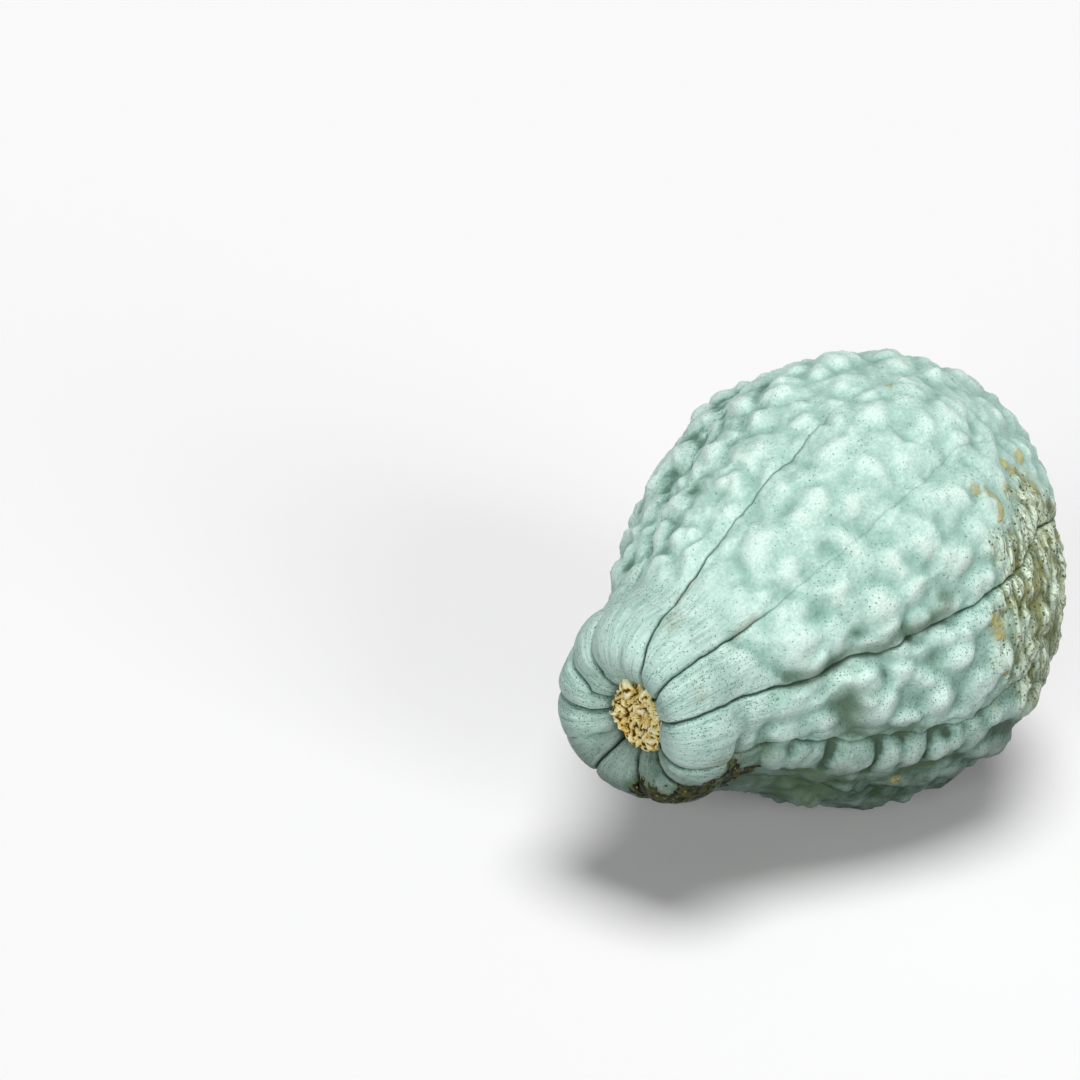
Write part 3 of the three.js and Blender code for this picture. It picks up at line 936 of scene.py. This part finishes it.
def bloom_colour(tree, on):
    """The waxy bloom, cloudy and grained, with painted highlight on the crests and upward faces."""
    colour = mixed(tree, on["clouds"], MINT, BLOOM)
    colour = mixed(tree, share_of(tree, on["broad"], 0.25), colour, TEAL)
    # Darker towards the blossom end: partly thinner bloom, partly painted shade.
    colour = mixed(tree, share_of(tree, attribute(tree, "blossom"), 0.5), colour, TEAL)
    # Painted highlight: the crests and the faces that lean up turn pale.
    colour = mixed(tree, ramp(tree, on["hollow"], -0.2, -2.4, 0.0, 0.72), colour, PALE_BLOOM_AND_HIGHLIGHT)
    tanned = ramp(tree, on["broad"], 0.5, 1.0, 0.0, 0.3)
    crest = share_of(tree, ramp(tree, on["hollow"], -1.0, -2.5), tanned)
    colour = mixed(tree, crest, colour, TAN_BLOOM)
    colour = mixed(tree, share_of(tree, on["grains"], 0.35), colour, PALE_BLOOM_AND_HIGHLIGHT)
    colour = mixed(tree, share_of(tree, on["dark_grains"], 0.3), colour, TEAL)
    return mixed(tree, share_of(tree, on["neck"], 0.25), colour, PALE_BLOOM_AND_HIGHLIGHT)


def streaked_colour(tree, on, colour):
    """Pale and dark streaks that run lengthways, mostly on the neck, and soft smudges there."""
    brushed = share_of(tree, on["fine_streaks"], ramp(tree, on["neck"], 0.0, 1.0, 0.15, 0.62))
    colour = mixed(tree, brushed, colour, PALE_BLOOM_AND_HIGHLIGHT)
    streaked = share_of(tree, on["streaks"], ramp(tree, on["neck"], 0.0, 1.0, 0.08, 0.66))
    streaked = share_of(tree, streaked, ramp(tree, on["worn"], 0.0, 1.0, 1.0, 0.35))
    colour = mixed(tree, streaked, colour, TEAL)
    smudged = share_of(tree, on["smudges"], share_of(tree, on["neck"], 0.2))
    return mixed(tree, smudged, colour, TEAL), streaked


def shaded_colour(tree, on, colour):
    """Painted shade in the hollows and on downward sides, most on the far side and below, and large
    patches.
    """
    depth_share = math_node(tree, "MAXIMUM", attribute(tree, "far"), on["underside"])
    shaded = share_of(tree, on["hollow"], ramp(tree, depth_share, 0.0, 0.5, 0.8, 2.1))
    colour = mixed(tree, ramp(tree, shaded, -0.7, 1.9, 0.0, 0.75), colour, TEAL)
    deep_colour = mixed(tree, on["lowness"], DEEP_TEAL, DEEP_GREEN)
    colour = mixed(tree, ramp(tree, shaded, 1.2, 4.4, 0.0, 0.9), colour, deep_colour)
    # The underside's dark green is partly its own colour, partly painted shade. The olive in the creases
    # is painted shade. The brown stains are the rind's own.
    stains = [
        (on["underside"], on["clouds"], 0.95, 0.7, UNDER_GREEN),
        (attribute(tree, "olive"), on["clouds"], 0.8, 0.55, OLIVE_SHADE),
        (attribute(tree, "brown"), on["fine_streaks"], 0.35, 0.05, BROWN),
    ]
    for where, pattern, most, least, stain in stains:
        share = share_of(tree, where, ramp(tree, pattern, 0.0, 1.0, most, least))
        colour = mixed(tree, share, colour, stain)
    return colour


def corky_colour(tree, on, colour):
    """The corky rind, with painted shade in its hollows, and the furrows and cracks in it."""
    wrinkles = noise_node(
        tree, Vector=stretched(tree, 0.18, 1.0), Scale=17.0, Detail=3.0, Distortion=0.9
    )
    wrinkle_side = math_node(tree, "ABSOLUTE", math_node(tree, "SUBTRACT", wrinkles, 0.5))
    fine_furrow = ramp(tree, wrinkle_side, 0.0, 0.05, 0.8, 0.0)
    furrow = math_node(tree, "MAXIMUM", fine_furrow, ramp(tree, attribute(tree, "furrow"), 0.3, 0.9))
    # Painted shade and highlight: the cork greyer in its hollows, paler on its crests.
    corky = mixed(tree, ramp(tree, on["hollow"], -1.0, 2.2), CORK_PALE, CORK_GREY)
    corky = mixed(tree, ramp(tree, on["clouds"], 0.4, 1.0, 0.0, 0.4), corky, CORK_YELLOW)
    corky = mixed(tree, share_of(tree, on["dark_grains"], 0.35), corky, CORK_GREY)
    chapped = placed(tree, crackle, Vector=stretched(tree, 0.4, 1.0), Scale=26.0, Width=0.09)
    chapped = share_of(tree, chapped, 0.45)
    corky = mixed(tree, chapped, corky, CORK_OLIVE)
    # The furrows are dark partly in their own colour, partly as painted shade.
    corky = mixed(tree, share_of(tree, furrow, 0.85), corky, CORK_OLIVE)
    furrow = math_node(tree, "MAXIMUM", furrow, chapped)
    flecked = share_of(tree, share_of(tree, on["flecks"], furrow), 0.45)
    corky = mixed(tree, flecked, corky, CORK_YELLOW)
    return mixed(tree, share_of(tree, on["cork"], 0.92), colour, corky), furrow


def specked_colour(tree, on, colour):
    """Dark specks, denser low down, on the neck and in the cork, and short scratches on the neck."""
    share = math_node(tree, "ADD", share_of(tree, on["speck_field"], 0.4), 0.09)
    dotted = math_node(tree, "MAXIMUM", math_node(tree, "MAXIMUM", on["lowness"], on["neck"]), on["cork"])
    share = share_of(tree, share, ramp(tree, dotted, 0.0, 1.0, 0.6, 1.9))
    share = share_of(tree, share, ramp(tree, on["leaning"], -0.1, 0.5, 0.7, 2.6))
    fine = placed(tree, specks, Vector=on["place"], Scale=640.0, Size=0.3, Share=share)
    half = share_of(tree, share, 0.5)
    large = placed(tree, specks, Vector=on["place"], Scale=400.0, Size=0.25, Share=half)
    grain = stretched(tree, 1.0, 0.35)
    scratches = placed(tree, specks, Vector=grain, Scale=58.0, Size=0.24, Share=share)
    specked = math_node(tree, "MAXIMUM", fine, large)
    specked = math_node(tree, "MAXIMUM", specked, share_of(tree, scratches, on["neck"]))
    colour = mixed(tree, share_of(tree, specked, 0.7), colour, SPECK)
    in_cork = placed(tree, specks, Vector=on["place"], Scale=400.0, Size=0.42, Share=0.55)
    in_cork = share_of(tree, in_cork, ramp(tree, on["cork"], 0.05, 0.5))
    return mixed(tree, share_of(tree, in_cork, 0.75), colour, CORK_OLIVE), specked


def marked_colour(tree, on, colour):
    """Crusts of ochre, and soil with crumbs of straw in it, its near-black partly painted shade."""
    flaking = share_of(tree, on["flaking"], 0.55)
    flaking = math_node(tree, "ADD", flaking, share_of(tree, on["crumbs"], 0.25))
    crust = math_node(tree, "SUBTRACT", share_of(tree, on["ochre"], 1.5), share_of(tree, flaking, 1.2))
    crusted = ramp(tree, crust, 0.0, 0.9)
    crust_colour = mixed(tree, ramp(tree, crust, 0.2, 1.6), OCHRE, STRAW)
    crust_colour = mixed(tree, share_of(tree, on["flecks"], 0.6), crust_colour, CORK_YELLOW)
    colour = mixed(tree, ramp(tree, on["ochre"], 0.0, 0.8, 0.0, 0.3), colour, OCHRE)
    colour = mixed(tree, share_of(tree, crusted, 0.75), colour, crust_colour)
    straw = placed(tree, specks, Vector=on["place"], Scale=560.0, Size=0.5, Share=0.13)
    soil = mixed(tree, straw, mixed(tree, on["crumbs"], SOIL_AND_SHADE, SOIL_OLIVE), OCHRE)
    caked = math_node(tree, "SUBTRACT", share_of(tree, on["earth"], 1.1), flaking)
    caked = ramp(tree, caked, 0.0, 0.3)
    colour = mixed(tree, ramp(tree, on["earth"], 0.05, 0.7, 0.0, 0.7), colour, EARTH_STAIN)
    return mixed(tree, caked, colour, soil), crusted, caked


def rind_material():
    material, tree, shader = new_material("rind")
    on = rind_masks(tree)
    colour = bloom_colour(tree, on)
    colour, streaked = streaked_colour(tree, on, colour)
    colour = shaded_colour(tree, on, colour)
    colour, furrow = corky_colour(tree, on, colour)
    colour, specked = specked_colour(tree, on, colour)
    colour, crusted, caked = marked_colour(tree, on, colour)
    # A dark line along each suture, darker where the cleft is deeper: partly the suture's own line,
    # partly painted shade.
    cleft_line = ramp(tree, attribute(tree, "seam"), 0.1, 0.9, 1.0, 0.0)
    cleft_line = share_of(tree, cleft_line, attribute(tree, "seam_depth"))
    colour = mixed(tree, share_of(tree, cleft_line, 0.9), colour, CLEFT)
    fill(tree, shader.inputs["Base Color"], colour)

    rough = ramp(tree, on["grains"], 0.0, 1.0, 0.5, 0.64)
    rough = math_node(tree, "ADD", rough, share_of(tree, on["cork"], 0.15))
    fill(tree, shader.inputs["Roughness"], rough)
    shader.inputs["Specular IOR Level"].default_value = 0.12

    skin = noise_node(tree, Vector=on["place"], Scale=480.0, Detail=3.0)
    ripple = noise_node(tree, Vector=on["place"], Scale=120.0, Detail=4.0, Roughness=0.6)
    height = math_node(tree, "ADD", share_of(tree, skin, 0.35), share_of(tree, ripple, 0.9))
    furrowed = share_of(tree, furrow, on["cork"])
    depths = [(specked, 0.25), (streaked, 0.4), (furrowed, 1.0), (caked, -0.5), (crusted, -0.8)]
    for mask, depth in depths:
        height = math_node(tree, "SUBTRACT", height, share_of(tree, mask, depth))
    bump = node(tree, "ShaderNodeBump", {"Height": height, "Strength": 0.7, "Distance": MM})
    fill(tree, shader.inputs["Normal"], bump.outputs[0])
    return material


def cork_material():
    material, tree, shader = new_material("stem_cork")
    place = node(tree, "ShaderNodeTexCoord").outputs["Object"]
    hollow = attribute(tree, "hollow")
    patches = placed(tree, mottle, Vector=place, Scale=160.0, Softness=0.15)
    colour = mixed(tree, patches, STEM_STRAW, STEM_GOLD)
    # Painted highlight, cream on the crests, and painted shade, brown in the hollows, partly the cork's
    # own brown.
    colour = mixed(tree, ramp(tree, hollow, 0.0, -1.3), colour, STEM_CREAM)
    colour = mixed(tree, ramp(tree, hollow, 0.0, 0.65), colour, STEM_BROWN)
    cracks = placed(tree, crackle, Vector=place, Scale=260.0, Width=0.06)
    patchy = ramp(tree, patches, 0.4, 1.0, 0.0, 0.5)
    colour = mixed(tree, share_of(tree, cracks, patchy), colour, STEM_BROWN)
    fill(tree, shader.inputs["Base Color"], colour)
    fill(tree, shader.inputs["Roughness"], ramp(tree, patches, 0.0, 1.0, 0.6, 0.75))
    shader.inputs["Specular IOR Level"].default_value = 0.1
    skin = noise_node(tree, Vector=place, Scale=900.0, Detail=4.0)
    height = math_node(tree, "SUBTRACT", skin, share_of(tree, cracks, 0.6))
    bump = node(tree, "ShaderNodeBump", {"Height": height, "Strength": 0.6, "Distance": 0.6 * MM})
    fill(tree, shader.inputs["Normal"], bump.outputs[0])
    return material


body.data.materials.append(rind_material())
stem.data.materials.append(cork_material())

# ---- the floor, the light and the camera ----


def background_ray(tree):
    """1 for the rays that should meet a plain white background."""
    rays = node(tree, "ShaderNodeLightPath").outputs
    seen = math_node(tree, "MAXIMUM", rays["Is Camera Ray"], rays["Is Glossy Ray"])
    return math_node(tree, "MAXIMUM", seen, rays["Is Transmission Ray"])


def make_floor():
    bm = bmesh.new()
    bmesh.ops.create_grid(bm, x_segments=1, y_segments=1, size=FLOOR_HALF_WIDTH)
    mesh = bpy.data.meshes.new("floor")
    bm.to_mesh(mesh)
    bm.free()
    floor = bpy.data.objects.new("floor", mesh)
    bpy.context.scene.collection.objects.link(floor)
    material, tree, shader = new_material("pale_floor")
    colour = mixed(tree, background_ray(tree), FLOOR_BOUNCE, FLOOR_SEEN)
    fill(tree, shader.inputs["Base Color"], colour)
    shader.inputs["Roughness"].default_value = 1
    shader.inputs["Specular IOR Level"].default_value = 0
    mesh.materials.append(material)


def sunlight(name, strength, softness, tilt, turn):
    """Soft light from a wide window. Strength 1 lights a surface that faces it to its own colour."""
    sun = bpy.data.lights.new(name, "SUN")
    sun.energy = strength * math.pi
    sun.angle = math.radians(softness)
    lamp = bpy.data.objects.new(name, sun)
    lamp.rotation_euler = (math.radians(tilt), 0, math.radians(turn))
    bpy.context.scene.collection.objects.link(lamp)


def make_light():
    for name, settings in LAMPS.items():
        sunlight(name, *settings)
    world = bpy.data.worlds.new("studio")
    bpy.context.scene.world = world
    world.use_nodes = True
    tree = world.node_tree
    tree.nodes.clear()
    strength = ramp(tree, background_ray(tree), 0.0, 1.0, WORLD_LIGHT, 1.0)
    sky = node(tree, "ShaderNodeBackground", {"Color": WHITE, "Strength": strength})
    node(tree, "ShaderNodeOutputWorld", {"Surface": sky.outputs[0]})


def make_camera():
    lens = bpy.data.cameras.new("camera")
    lens.sensor_width = CAMERA_SENSOR
    lens.lens = CAMERA_LENS
    camera = bpy.data.objects.new("camera", lens)
    camera.location = (Vector(box_offset()) + CAMERA_PLACE) * MM
    camera.rotation_euler = (math.radians(CAMERA_TILT), 0, math.radians(CAMERA_TURN))
    bpy.context.scene.collection.objects.link(camera)
    bpy.context.scene.camera = camera


make_floor()
make_light()
make_camera()
bpy.context.scene.view_settings.view_transform = "Standard"
